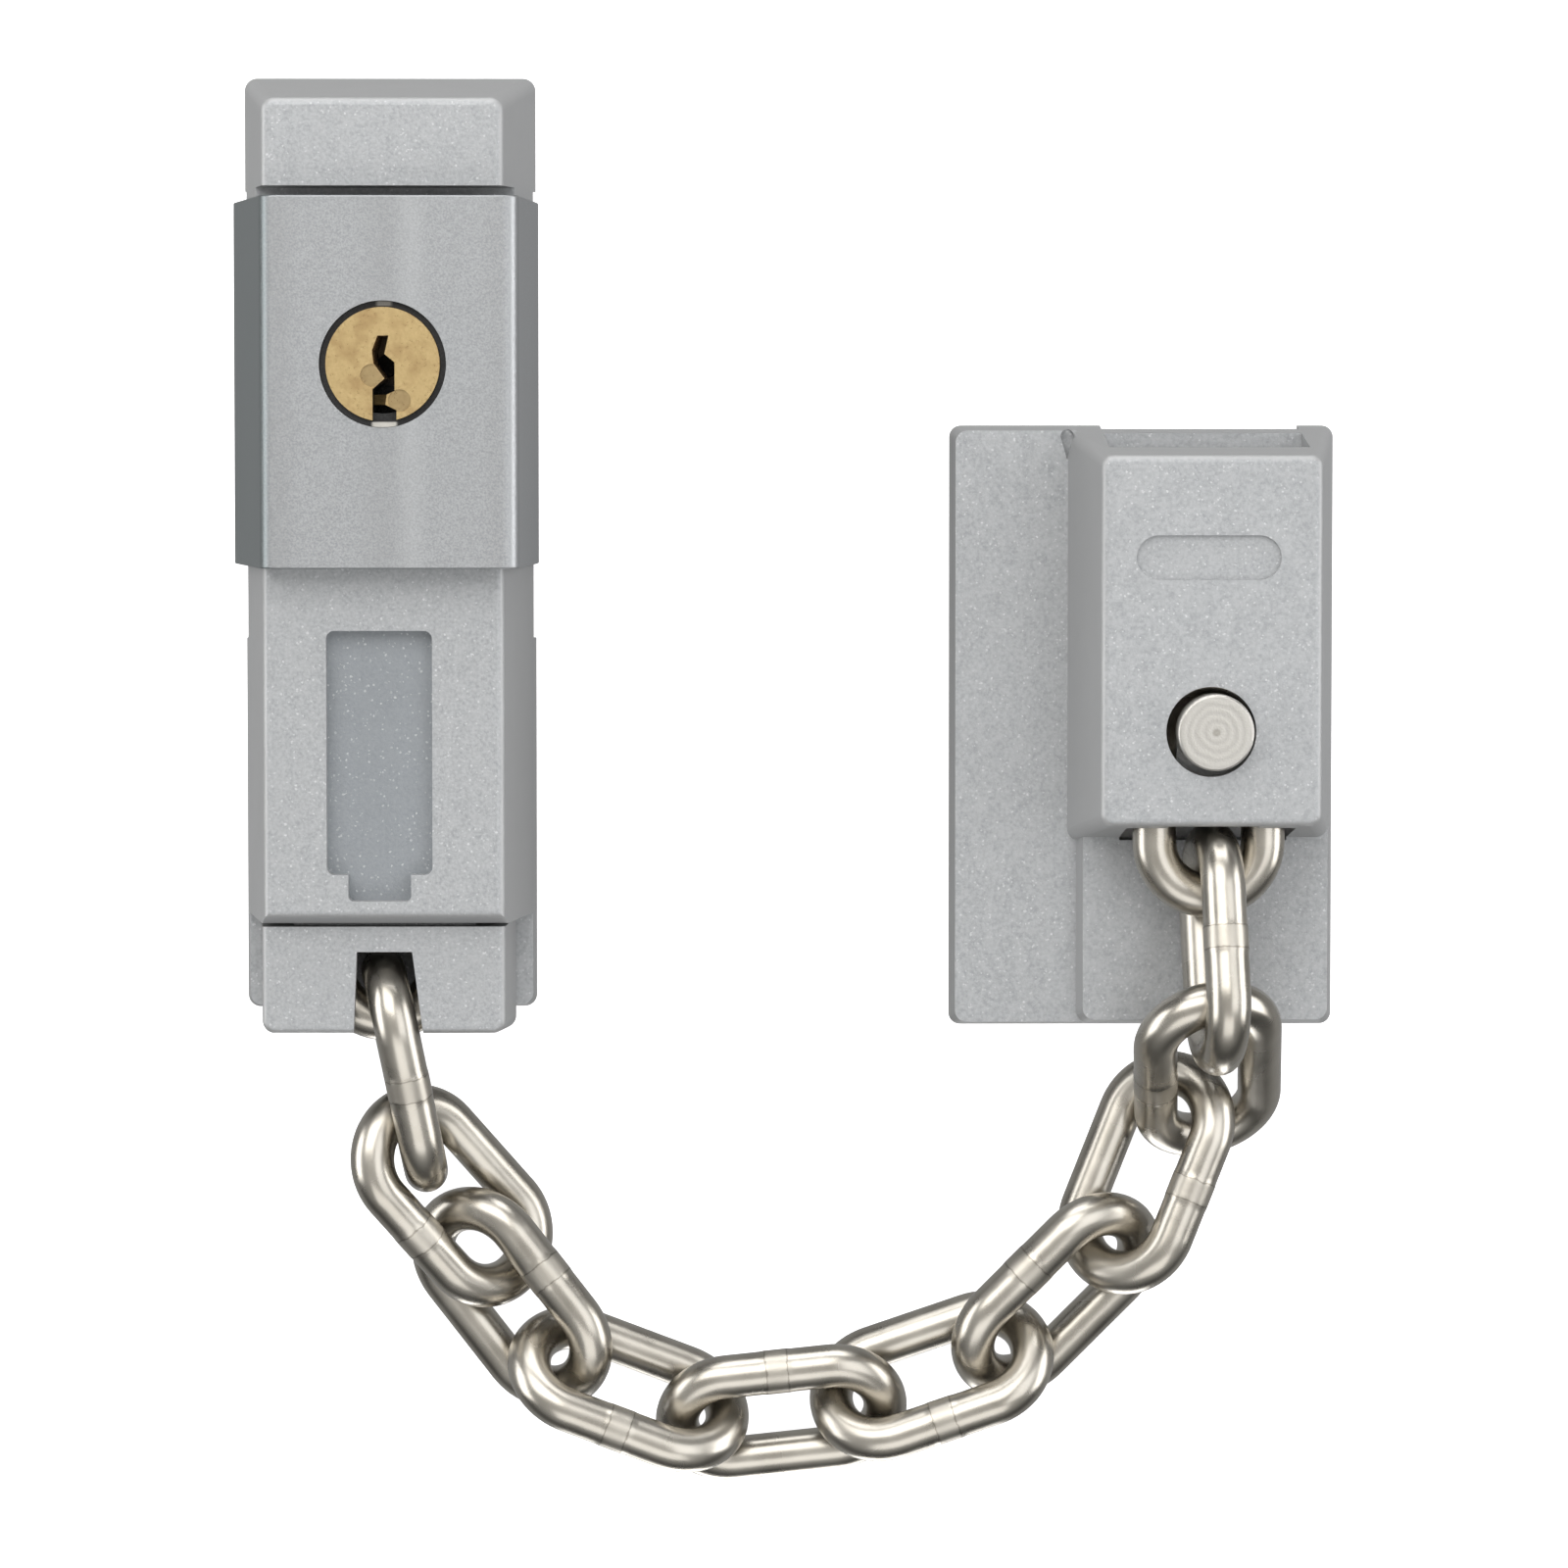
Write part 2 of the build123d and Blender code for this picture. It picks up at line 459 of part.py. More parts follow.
# ---- frame cover: a low plate, a tall housing and a platform below it, hollow behind ----
with BuildPart() as frame_cover:
    drafted_block(COVER_LEFT, COVER_RIGHT, COVER_BOTTOM, COVER_TOP, COVER_DEPTH, COVER_CORNER)
    drafted_block(PLATFORM_LEFT, COVER_RIGHT, COVER_BOTTOM, PLATFORM_TOP, PLATFORM_DEPTH, COVER_CORNER)
    drafted_block(HOUSING_LEFT, COVER_RIGHT, HOUSING_BOTTOM, COVER_TOP, HOUSING_DEPTH, COVER_CORNER)
    fillet(frame_cover.faces().sort_by(Axis.Y)[0].edges(), BODY_EDGE)
    # the plate's recess behind, and the bay for the anchor link, open at its foot
    plate_room = FRAME_PLATE_DEPTH + PLATE_GAP
    box_cut(COVER_LEFT + COVER_WALL, COVER_RIGHT - COVER_WALL, COVER_BOTTOM + COVER_WALL,
            COVER_TOP - COVER_WALL, 0, plate_room)
    bay_front = HOUSING_DEPTH - HOUSING_WALL
    bay_floor = PLATFORM_DEPTH + PLATE_GAP
    box_cut(BAY_LEFT, BAY_RIGHT, HOUSING_BOTTOM + BAY_LIP, BAY_TOP, plate_room, bay_front)
    box_cut(BAY_LEFT, BAY_RIGHT, HOUSING_BOTTOM - 2 * CLEAR, BAY_TOP, bay_floor, bay_front)
    # a relief behind the front wall's lower edge, for the free link that hangs on the anchor link
    relief_half, relief_height, relief_wall = RELIEF
    box_cut(PIN_X - relief_half, PIN_X + relief_half, HOUSING_BOTTOM - 2 * CLEAR,
            HOUSING_BOTTOM + relief_height, bay_floor, HOUSING_DEPTH - relief_wall)
    # two openings in the top, with a bar between them
    left, right, floor, back, front = TOP_OPENING
    box_cut(left, right, floor, COVER_TOP + CLEAR, back, front)
    box_cut(left, right, floor, COVER_TOP + CLEAR, 0, plate_room)
    # blank stadium panel, sunk into the housing's face
    with BuildSketch(ROOM.offset(HOUSING_DEPTH - PANEL_DEPTH)):
        with Locations(PANEL[:2]):
            SlotOverall(*PANEL[2:])
    extrude(amount=CLEAR, mode=Mode.SUBTRACT)
    disc(PIN_HOLE_X, PIN_Z, PIN_HOLE_RADIUS, plate_room, HOUSING_DEPTH + CLEAR, Mode.SUBTRACT)
    # a small pear-shaped notch where the housing's flank meets the low plate
    with BuildSketch(ROOM.offset(COVER_DEPTH - CLEAR)):
        x, z, width, height = NOTCH
        with Locations((x, z + height / 2 - width / 2)):
            Circle(width / 2)
        with BuildLine():
            Polyline((x - width / 2, z + height / 2 - width / 2), (x + width / 2, z + height / 2 - width / 2),
                     (x, z - height / 2), close=True)
        make_face()
    extrude(amount=3 * CLEAR, mode=Mode.SUBTRACT)

# ---- frame plate, socket and pin: steel parts that hold the chain's other end ----
with BuildPart() as frame_plate:
    with BuildSketch(ROOM):
        with Locations(((COVER_LEFT + COVER_RIGHT) / 2, (COVER_TOP + COVER_BOTTOM) / 2)):
            RectangleRounded(COVER_RIGHT - COVER_LEFT - 2 * (COVER_WALL + PLATE_GAP),
                             COVER_TOP - COVER_BOTTOM - 2 * (COVER_WALL + PLATE_GAP), SMALL_CORNER)
        with Locations(*grid(FRAME_SCREW_CENTRE, FRAME_SCREW_SPACING)):
            Circle(SCREW_RADIUS, mode=Mode.SUBTRACT)
        with Locations((PIN_X, PIN_Z)):
            Circle(SHANK_RADIUS + RUNNING_GAP, mode=Mode.SUBTRACT)
    extrude(amount=FRAME_PLATE_DEPTH)

with BuildPart() as pin_socket:
    disc(PIN_X, PIN_Z, SOCKET_RADIUS, FRAME_PLATE_DEPTH, SOCKET_FRONT)
    disc(PIN_X, PIN_Z, SHANK_RADIUS + RUNNING_GAP, FRAME_PLATE_DEPTH, SOCKET_FRONT, Mode.SUBTRACT)

with BuildPart() as frame_anchor_pin:
    disc(PIN_X, PIN_Z, SHANK_RADIUS, PIN_BACK, PIN_FRONT)
    disc(PIN_X, PIN_Z, PIN_HEAD_RADIUS, PIN_HEAD_BACK, PIN_FRONT)
    fillet(frame_anchor_pin.faces().sort_by(Axis.Y)[0].edges(), PIN_EDGE)

# ---- the chain: an anchor link at each end and ten free links between them ----
links = [upright_place(DOOR_ANCHOR)]
links += [link_place(*lie) for lie in FREE_LINKS]
links += [upright_place(FRAME_ANCHOR)]

nodes = {
    "door_body": door_body.part,
    "door_back_plate": door_back_plate.part,
    "lock_sleeve": lock_sleeve.part,
    "lock_barrel": lock_barrel.part,
    "lock_plug": lock_plug.part,
    "lock_wafers": lock_wafers.part,
    "lock_cam": lock_cam.part,
    "cam_screw": cam_screw.part,
    "chain_carrier": chain_carrier.part,
    "carrier_anchor_pin": carrier_anchor_pin.part,
    "frame_cover": frame_cover.part,
    "frame_plate": frame_plate.part,
    "pin_socket": pin_socket.part,
    "frame_anchor_pin": frame_anchor_pin.part,
}
for number, place in enumerate(links):
    nodes[f"chain_link_{number:02d}"] = chain_link(place)

os.makedirs("parts", exist_ok=True)
for name, part in nodes.items():
    part.label = name
    export_step(part, f"parts/{name}.step")
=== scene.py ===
import json
import math

import bpy
import numpy as np
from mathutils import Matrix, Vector


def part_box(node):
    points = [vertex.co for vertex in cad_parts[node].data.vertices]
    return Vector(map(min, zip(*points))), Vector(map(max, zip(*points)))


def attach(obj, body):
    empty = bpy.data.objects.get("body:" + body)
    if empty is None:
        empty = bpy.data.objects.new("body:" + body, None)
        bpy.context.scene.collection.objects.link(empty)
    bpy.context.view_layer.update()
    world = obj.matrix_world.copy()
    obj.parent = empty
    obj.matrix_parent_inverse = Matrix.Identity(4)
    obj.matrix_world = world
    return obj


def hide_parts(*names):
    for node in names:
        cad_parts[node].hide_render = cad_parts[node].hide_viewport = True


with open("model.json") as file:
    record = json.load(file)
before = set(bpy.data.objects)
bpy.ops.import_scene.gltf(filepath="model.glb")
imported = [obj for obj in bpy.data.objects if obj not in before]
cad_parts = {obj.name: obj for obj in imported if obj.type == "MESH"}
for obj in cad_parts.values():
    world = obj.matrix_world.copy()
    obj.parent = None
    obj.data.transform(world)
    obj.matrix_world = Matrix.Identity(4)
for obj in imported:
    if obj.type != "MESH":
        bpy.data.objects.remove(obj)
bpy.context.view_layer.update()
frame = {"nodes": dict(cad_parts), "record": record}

MM = 0.001

# The frame: +X from the door part to the frame part, +Z up, the door's surface at Y = 0, the room at -Y.
CAMERA_PLACE = (0.03204, -0.750, 0.01381)
CAMERA_AIM = (0.0442, 0.0, -0.0271)
LENS_MM = 152.7
SENSOR_MM = 36.0
CLIP_START = 0.01
OBJECT_MIDDLE = (0.045, 0, -0.02)
BOARD_HALF = 3.0
BOARD_BACK = 0.0006  # how far the board stands behind the door's surface

# chain links
LINK_COUNT = 12
WIRE_RADIUS = 2.5 * MM
CROWN_RADIUS = 6.0 * MM  # of the wire's centreline
LEG_LENGTH = 11.5 * MM
SEAM_HALF = 1.25 * MM  # half the length of the weld collar on a link's leg
COLLAR_FADE = 0.5 * MM  # length over which the collar runs out
COLLAR_SINK = 0.01 * MM  # how far the collar stays inside the CAD wire
WIRE_SINK = 0.06 * MM  # how far the rest of the wire stays inside it
# where the painted shade line just past the weld collar runs
CREASE_PLACE = SEAM_HALF + 0.35 * MM
AROUND = 40  # points round the wire
LEG_STEPS = 44
CROWN_STEPS = 36

# door part
RECESS_FLOOR = 19.2 * MM  # how far the long recess's floor stands off the door
# painted reflections on the sleeve's face, soft light and dark bands: x and half width in mm, strength, shade
SLEEVE_REFLECTION_BANDS = (
    (0.3, 3.2, 0.45, 0.28),
    (3.3, 2.0, 0.36, 0.52),
    (-11.2, 2.6, 0.45, 0.26),
    (12.6, 2.0, 0.35, 0.28),
)

# plug and black ring: sides and heights are taken from the plug's middle
PLUG_DIMPLES = ((-1.2 * MM, -1.25 * MM), (1.8 * MM, -4.0 * MM))
DIMPLE_RADIUS = 1.2 * MM
DIMPLE_RIM = 0.08 * MM
# painted shade in the keyway
KEYWAY_DEPTHS = (0.3 * MM, 1.2 * MM)  # behind the plug's face, where the keyway turns dark
KEYWAY_HEIGHTS = (-2.4 * MM, -0.6 * MM)  # where it turns from black to brown
PATCH_SIDE = 0.15 * MM  # of the ring's two bare patches
# each patch: where it ends on either side, where it begins in height, strength
PATCH_FOOT = ((1.2 * MM, 1.5 * MM), (-6.25 * MM, -6.4 * MM), 1.0)
PATCH_CROWN = ((0.6 * MM, 1.0 * MM), (6.2 * MM, 6.4 * MM), 0.5)

# the anchor pin's tool marks
MARK_FREQUENCY = 6800.0  # in radians a metre
MARK_WOBBLE = 0.9 * MM
NUB_EDGE = (0.3 * MM, 0.5 * MM)

# greys of the surroundings between the wall side, 0, and the room side, 1
WORLD_STOPS = ((0.30, 0.32), (0.42, 0.09), (0.54, 0.07), (0.66, 0.24), (0.84, 0.46))


# ---- camera ----
def aim(obj, target):
    """Turn a camera or a light to look at a point."""
    away = Vector(obj.location) - Vector(target)
    obj.rotation_euler = away.to_track_quat("Z", "Y").to_euler()


camera = bpy.data.objects.new("camera", bpy.data.cameras.new("camera"))
bpy.context.collection.objects.link(camera)
camera.location = CAMERA_PLACE
camera.data.lens = LENS_MM
camera.data.sensor_width = SENSOR_MM
camera.data.clip_start = CLIP_START
aim(camera, CAMERA_AIM)
bpy.context.scene.camera = camera
bpy.context.scene.view_settings.view_transform = "Standard"


# ---- light ----
def softbox(name, place, size, power, colour=(1, 1, 1)):
    """A large rectangular lamp that looks at the middle of the object."""
    lamp = bpy.data.lights.new(name, "AREA")
    lamp.shape = "RECTANGLE"
    lamp.size, lamp.size_y = size
    lamp.energy = power
    lamp.color = colour
    obj = bpy.data.objects.new(name, lamp)
    bpy.context.collection.objects.link(obj)
    obj.location = place
    aim(obj, OBJECT_MIDDLE)


softbox("key", (-0.25, -0.85, 0.55), (0.9, 0.7), 5.6, (1.0, 0.99, 0.97))
softbox("fill", (0.55, -0.85, 0.10), (0.6, 0.8), 2.2, (0.97, 0.98, 1.0))
softbox("left", (-0.90, -0.22, 0.05), (0.5, 0.9), 4.5)
softbox("right", (1.00, -0.22, 0.05), (0.5, 0.9), 4.5)
softbox("top", (0.04, -0.22, 0.95), (0.9, 0.5), 4.5)
softbox("low", (0.05, -0.75, -0.60), (0.8, 0.5), 1.6)
softbox("back_fill", (0.05, 0.6, -0.85), (0.5, 0.5), 2.5)


def build_world():
    """Studio surroundings: bright on the room side, dark beside the object and dimmer behind it."""
    world = bpy.data.worlds.new("studio")
    bpy.context.scene.world = world
    world.use_nodes = True
    tree = world.node_tree
    background = tree.nodes["Background"]
    where = tree.nodes.new("ShaderNodeTexCoord")
    split = tree.nodes.new("ShaderNodeSeparateXYZ")
    ramp = tree.nodes.new("ShaderNodeMapRange")
    shades = tree.nodes.new("ShaderNodeValToRGB")
    tree.links.new(where.outputs["Generated"], split.inputs[0])
    tree.links.new(split.outputs["Y"], ramp.inputs["Value"])
    ramp.inputs["From Min"].default_value = 1.0
    ramp.inputs["From Max"].default_value = -1.0
    tree.links.new(ramp.outputs[0], shades.inputs[0])
    stops = shades.color_ramp.elements
    stops[0].position, stops[0].color = 0.0, (0.36, 0.365, 0.37, 1)
    stops[1].position, stops[1].color = 1.0, (0.58, 0.57, 0.55, 1)
    for place, shade in WORLD_STOPS:
        stops.new(place).color = (shade, shade, shade * 0.98, 1)
    tree.links.new(shades.outputs[0], background.inputs["Color"])
    background.inputs["Strength"].default_value = 1.0


build_world()


# ---- material building blocks ----
class Recipe:
    """A new material and short ways to add nodes to it."""

    def __init__(self, name):
        self.material = bpy.data.materials.new(name)
        self.material.use_nodes = True
        self.tree = self.material.node_tree
        self.shader = self.tree.nodes["Principled BSDF"]
        self.object_place = self.node("ShaderNodeTexCoord").outputs["Object"]

    def node(self, kind, **settings):
        made = self.tree.nodes.new(kind)
        for key, value in settings.items():
            setattr(made, key, value)
        return made

    def link(self, source, target):
        self.tree.links.new(source, target)

    def feed(self, socket, value):
        """Link a socket to another node, or set it to a number or a colour."""
        if isinstance(value, tuple):
            socket.default_value = (*value, 1)
        elif isinstance(value, (int, float)):
            socket.default_value = value
        else:
            self.link(value, socket)

    def noise(self, scale, detail=2.0, rough=0.5):
        made = self.node("ShaderNodeTexNoise")
        made.inputs["Scale"].default_value = scale
        made.inputs["Detail"].default_value = detail
        made.inputs["Roughness"].default_value = rough
        self.link(self.object_place, made.inputs["Vector"])
        return made.outputs["Fac"]

    def flecks(self, scale):
        """Small cells with a random number each."""
        cells = self.node("ShaderNodeTexVoronoi")
        cells.inputs["Scale"].default_value = scale
        self.link(self.object_place, cells.inputs["Vector"])
        split = self.node("ShaderNodeSeparateColor")
        self.link(cells.outputs["Color"], split.inputs[0])
        return split.outputs[0]

    def math(self, operation, a, b=None, clamp=False):
        made = self.node("ShaderNodeMath", operation=operation, use_clamp=clamp)
        self.feed(made.inputs[0], a)
        if b is not None:
            self.feed(made.inputs[1], b)
        return made.outputs[0]

    def span(self, value, low, high, to_low, to_high):
        """The value's stretch from low to high, carried over to another stretch and held there."""
        made = self.node("ShaderNodeMapRange")
        self.link(value, made.inputs["Value"])
        for socket, number in zip(("From Min", "From Max", "To Min", "To Max"), (low, high, to_low, to_high)):
            made.inputs[socket].default_value = number
        return made.outputs[0]

    def mix(self, factor, first, second):
        made = self.node("ShaderNodeMix", data_type="RGBA")
        colours = [socket for socket in made.inputs if socket.type == "RGBA"]
        self.feed(made.inputs[0], factor)
        self.feed(colours[0], first)
        self.feed(colours[1], second)
        return [socket for socket in made.outputs if socket.type == "RGBA"][0]

    def fade(self, value, low, high, first, second, most=1.0):
        """The first tone, going over to the second as the value climbs from low to high."""
        return self.mix(self.span(value, low, high, 0.0, most), first, second)

    def tint(self, tone, where, strength, colour):
        """A tone with a colour laid over a part of the surface."""
        return self.mix(self.math("MULTIPLY", where, strength), tone, colour)

    def bump(self, height, depth, under=None):
        made = self.node("ShaderNodeBump")
        made.inputs["Distance"].default_value = depth
        self.link(height, made.inputs["Height"])
        if under is not None:
            self.link(under, made.inputs["Normal"])
        return made.outputs[0]

    def axes(self, vector):
        """The X, Y and Z of a vector."""
        split = self.node("ShaderNodeSeparateXYZ")
        self.link(vector, split.inputs[0])
        return split.outputs

    def facing(self):
        """The X, Y and Z of the way the surface looks."""
        return self.axes(self.node("ShaderNodeNewGeometry").outputs["Normal"])

    def facing_room(self):
        """1 on faces that look straight to the room, 0 on the flanks."""
        return self.span(self.facing()["Y"], -0.80, -0.97, 0.0, 1.0)

    def side_right(self):
        """1 on flanks that look to +X, 0 on flanks that look to -X."""
        return self.span(self.facing()["X"], -0.3, 0.3, 0.0, 1.0)

    def distance_from(self, x, z):
        """Distance in the door's plane from the line through (x, z), in metres."""
        place = self.axes(self.object_place)
        dx = self.math("SUBTRACT", place["X"], x)
        dz = self.math("SUBTRACT", place["Z"], z)
        squares = self.math("ADD", self.math("MULTIPLY", dx, dx), self.math("MULTIPLY", dz, dz))
        return self.math("SQRT", squares)

    def finish(self, colour, metallic, rough, normal):
        """Feed the shader and give the finished material."""
        self.link(colour, self.shader.inputs["Base Color"])
        self.feed(self.shader.inputs["Metallic"], metallic)
        self.link(rough, self.shader.inputs["Roughness"])
        self.link(normal, self.shader.inputs["Normal"])
        return self.material


# ---- materials ----
def middle(node):
    """The x and z of the middle of a CAD node."""
    low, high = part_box(node)
    return (low[0] + high[0]) / 2, (low[2] + high[2]) / 2


def silver_coat():
    """Silver powder coat, smoother on the flanks, with its metal flecks shown as painted glints on the faces
    to the room and painted shade at the bottom of the long recess.
    """
    r = Recipe("silver_coat")
    face = r.facing_room()
    grain = r.noise(2600.0, 4.0, 0.65)
    mottle = r.noise(650.0)
    broad = r.noise(70.0, 3.0)
    # painted glints: the coat's metal flecks are lightened, on the faces to the room only
    glint_flecks = r.math("MULTIPLY", r.span(r.flecks(5200.0), 0.96, 1.0, 0.0, 1.0), face, True)
    base = r.fade(grain, 0.35, 0.65, (0.315, 0.326, 0.338), (0.43, 0.441, 0.453))
    base = r.fade(mottle, 0.35, 0.65, base, (0.46, 0.469, 0.479), 0.35)
    smooth = r.fade(grain, 0.30, 0.70, (0.40, 0.405, 0.41), (0.45, 0.455, 0.46))
    tone = r.mix(face, smooth, base)
    tone = r.fade(broad, 0.3, 0.7, tone, (0.33, 0.33, 0.33), 0.10)
    # painted shade: the faces to the room at the bottom of the long recess are darkened to blue-grey
    off_floor = r.math("ABSOLUTE", r.math("ADD", r.axes(r.object_place)["Y"], RECESS_FLOOR))
    floor = r.math("MULTIPLY", face, r.span(off_floor, 0.10 * MM, 0.25 * MM, 1.0, 0.0), True)
    tone = r.tint(tone, floor, 0.62, (0.22, 0.245, 0.27))
    tone = r.tint(tone, glint_flecks, 0.42, (0.80, 0.81, 0.82))
    rough = r.math("ADD", r.span(grain, 0.3, 0.7, 0.40, 0.56), r.span(broad, 0.3, 0.7, -0.03, 0.03))
    height = r.math("MULTIPLY", grain, r.span(face, 0.0, 1.0, 0.35, 1.0))
    return r.finish(tone, 0.35, rough, r.bump(height, 0.04 * MM))


def satin_coat():
    """The sleeve's finer satin silver, with soft light and dark bands of painted reflection along its length,
    and bare, darker flanks with painted shade on the one that looks to -X.
    """
    r = Recipe("satin_coat")
    face = r.facing_room()
    grain = r.noise(4200.0, 3.0, 0.65)
    broad = r.noise(55.0, 3.0)
    place = r.axes(r.object_place)
    tone = r.fade(grain, 0.35, 0.65, (0.295, 0.305, 0.316), (0.40, 0.410, 0.421))
    # painted reflection: soft light and dark bands along the sleeve's face
    for x, half, strength, shade in SLEEVE_REFLECTION_BANDS:
        away = r.math("ABSOLUTE", r.math("SUBTRACT", place["X"], x * MM))
        reflection_band = r.math("SMOOTH_MIN", r.span(away, 0.0, half * MM, strength, 0.0), strength * 0.8)
        tone = r.mix(reflection_band, tone, (shade, shade * 1.02, shade * 1.04))
    # painted shade: the side that looks to -X is darker than the one that looks to +X
    flank_shade = r.fade(grain, 0.35, 0.65, (0.20, 0.225, 0.23), (0.26, 0.285, 0.29))
    flank_shade = r.mix(r.side_right(), flank_shade, (0.40, 0.41, 0.42))
    tone = r.mix(face, flank_shade, tone)
    tone = r.fade(broad, 0.3, 0.7, tone, (0.30, 0.31, 0.32), 0.12)
    metallic = r.span(face, 0.0, 1.0, 0.9, 0.45)
    return r.finish(tone, metallic, r.span(grain, 0.3, 0.7, 0.36, 0.48), r.bump(grain, 0.02 * MM))


def nickel():
    """Warm polished nickel over slightly uneven wire, with rougher weld seams and a painted shade line just
    past each collar.
    """
    r = Recipe("nickel_chain")
    broad = r.noise(180.0)
    fine = r.noise(2600.0, 3.0, 0.6)
    pits = r.span(r.noise(1500.0, 2.0, 0.6), 0.66, 0.74, 0.0, 1.0)
    seam = r.node("ShaderNodeAttribute", attribute_name="seam").outputs["Fac"]
    ragged = r.math("ADD", seam, r.math("MULTIPLY", r.noise(900.0, 3.0, 0.7), 0.7 * MM))
    # painted shade: a thin dark line just past the weld collar, where the collar meets the wire
    from_crease = r.math("ABSOLUTE", r.math("SUBTRACT", ragged, CREASE_PLACE))
    crease_shade = r.span(from_crease, 0.03 * MM, 0.13 * MM, 1.0, 0.0)
    weld = r.span(ragged, SEAM_HALF, SEAM_HALF + COLLAR_FADE, 1.0, 0.0)
    tone = r.fade(broad, 0.35, 0.65, (0.46, 0.432, 0.382), (0.55, 0.520, 0.464))
    tone = r.tint(tone, pits, 0.25, (0.42, 0.40, 0.36))
    tone = r.tint(tone, weld, 0.12, (0.50, 0.47, 0.42))
    tone = r.tint(tone, crease_shade, 0.65, (0.20, 0.18, 0.15))
    rough = r.math("ADD", r.span(broad, 0.3, 0.7, 0.25, 0.31), r.math("MULTIPLY", weld, 0.10))
    under = r.bump(broad, 0.06 * MM)
    rough_weld = r.math("MULTIPLY", fine, r.span(weld, 0.0, 1.0, 0.05, 1.0))
    return r.finish(tone, 1.0, rough, r.bump(rough_weld, 0.012 * MM, under))


def metal(name, low, high, rough, grain_scale=3000.0):
    """Plain worked metal: a grain between two tones, wear in the gloss and a fine bump."""
    r = Recipe(name)
    grain = r.noise(grain_scale, 3.0, 0.6)
    wear = r.noise(240.0, 3.0, 0.6)
    tone = r.fade(grain, 0.3, 0.7, low, high)
    tone = r.fade(wear, 0.5, 0.75, tone, tuple(0.6 * c for c in low), 0.25)
    gloss = r.span(wear, 0.3, 0.7, rough - 0.06, rough + 0.08)
    return r.finish(tone, 1.0, gloss, r.bump(grain, 0.012 * MM))


def turned_steel():
    """The anchor pin's turned face: concentric tool marks round a centre nub."""
    r = Recipe("turned_steel")
    away = r.distance_from(*middle("frame_anchor_pin"))
    wobble = r.math("MULTIPLY", r.noise(420.0, 3.0), MARK_WOBBLE)
    rings = r.math("SINE", r.math("MULTIPLY", r.math("ADD", away, wobble), MARK_FREQUENCY))
    grain = r.noise(4200.0, 2.0, 0.6)
    tone = r.fade(rings, -1.0, 1.0, (0.51, 0.495, 0.465), (0.57, 0.555, 0.52))
    tone = r.tint(tone, r.span(away, *NUB_EDGE, 1.0, 0.0), 0.6, (0.30, 0.28, 0.24))
    height = r.math("ADD", rings, r.math("MULTIPLY", grain, 4.0))
    return r.finish(tone, 0.8, r.span(grain, 0.3, 0.7, 0.30, 0.45), r.bump(height, 0.006 * MM))


def plug_brass():
    """Machined brass with two milled dimples beside the keyway, with painted shade in the dimples and inside
    the keyway, near black low down.
    """
    r = Recipe("plug_brass")
    x, z = middle("lock_plug")
    grain = r.noise(3000.0, 3.0, 0.6)
    wear = r.noise(480.0)
    tone = r.fade(grain, 0.3, 0.7, (0.57, 0.42, 0.20), (0.62, 0.465, 0.235))
    tone = r.fade(wear, 0.45, 0.70, tone, (0.40, 0.26, 0.12), 0.6)
    # painted shade in the two milled dimples: darker discs on a surface with no hollow there
    dimples = [
        r.span(r.distance_from(x + side, z + rise), DIMPLE_RADIUS, DIMPLE_RADIUS + DIMPLE_RIM, 1.0, 0.0)
        for side, rise in PLUG_DIMPLES
    ]
    tone = r.tint(tone, r.math("MAXIMUM", *dimples), 0.55, (0.30, 0.22, 0.12))
    place = r.axes(r.object_place)
    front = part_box("lock_plug")[0][1]
    # painted shade: the keyway darkens to brown with depth, and to near black low down
    inside = r.span(place["Y"], front + KEYWAY_DEPTHS[0], front + KEYWAY_DEPTHS[1], 0.0, 1.0)
    low = r.span(place["Z"], z + KEYWAY_HEIGHTS[0], z + KEYWAY_HEIGHTS[1], 1.0, 0.0)
    tone = r.mix(inside, tone, (0.42, 0.25, 0.10))
    tone = r.tint(tone, inside, low, (0.012, 0.010, 0.008))
    metallic = r.span(inside, 0.0, 1.0, 0.85, 0.1)
    return r.finish(tone, metallic, r.span(grain, 0.3, 0.7, 0.26, 0.38), r.bump(grain, 0.002 * MM))


def barrel_black():
    """The barrel's blackened ring, rubbed bare at its foot and a little at its top."""
    r = Recipe("black_ring")
    x, z = middle("lock_plug")
    grain = r.noise(3000.0, 3.0, 0.6)
    place = r.axes(r.object_place)
    beside = r.math("ABSOLUTE", r.math("SUBTRACT", place["X"], x + PATCH_SIDE))
    patches = []
    for (inner, outer), (start, full), strength in (PATCH_FOOT, PATCH_CROWN):
        across = r.span(beside, inner, outer, 1.0, 0.0)
        upward = r.span(place["Z"], z + start, z + full, 0.0, strength)
        patches.append(r.math("MULTIPLY", across, upward, True))
    bare = r.math("ADD", *patches, True)
    tone = r.fade(grain, 0.3, 0.7, (0.012, 0.012, 0.013), (0.035, 0.035, 0.036))
    tone = r.mix(bare, tone, (0.62, 0.60, 0.56))
    metallic = r.span(bare, 0.0, 1.0, 0.2, 0.7)
    return r.finish(tone, metallic, r.span(grain, 0.3, 0.7, 0.38, 0.50), r.bump(grain, 0.01 * MM))


